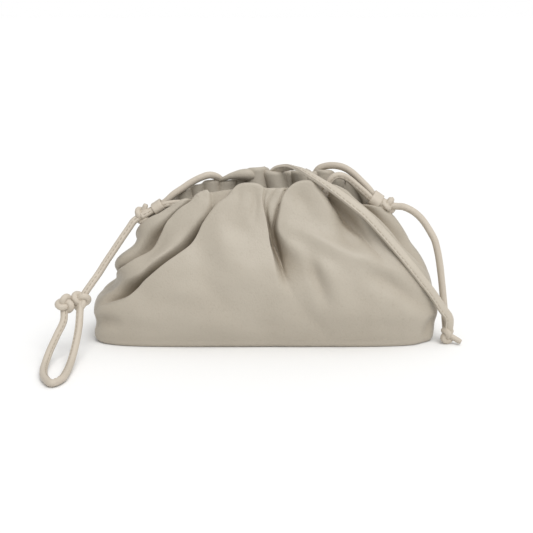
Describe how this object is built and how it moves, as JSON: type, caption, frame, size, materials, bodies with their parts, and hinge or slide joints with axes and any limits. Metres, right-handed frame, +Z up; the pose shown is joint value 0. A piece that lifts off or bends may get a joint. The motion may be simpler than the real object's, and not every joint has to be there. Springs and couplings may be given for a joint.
{
  "type": "cloud pouch bag",
  "caption": "Soft gathered leather pouch bag with a flat foot, drawcords through its rim, sliding bands and knots, a wrist loop and a thin strap across the front.",
  "frame": {"origin": "middle of the flat foot, on the surface that the bag stands on", "axes": "+Z up, +X to the right of the front, +Y towards the back; the front looks towards -Y"},
  "size_m": [0.2614, 0.1443, 0.1163],
  "materials": {
    "pouch_leather": "soft smooth matt leather",
    "cord_leather": "rolled and stitched leather cord",
    "strap_leather": "flat stitched leather strap"
  },
  "bodies": {
    "root": {"bag_body": "pouch_leather", "drawcord_front": "cord_leather", "drawcord_back": "cord_leather", "slider_band_left": "cord_leather", "slider_band_right": "cord_leather", "knot_left": "cord_leather", "knot_right": "cord_leather", "tail_left": "cord_leather", "loop_knot": "cord_leather", "button_knot": "cord_leather", "wrist_loop": "cord_leather", "tail_right": "cord_leather", "end_knot": "cord_leather", "front_strap": "strap_leather", "strap_knot": "cord_leather"}
  },
  "joints": []
}
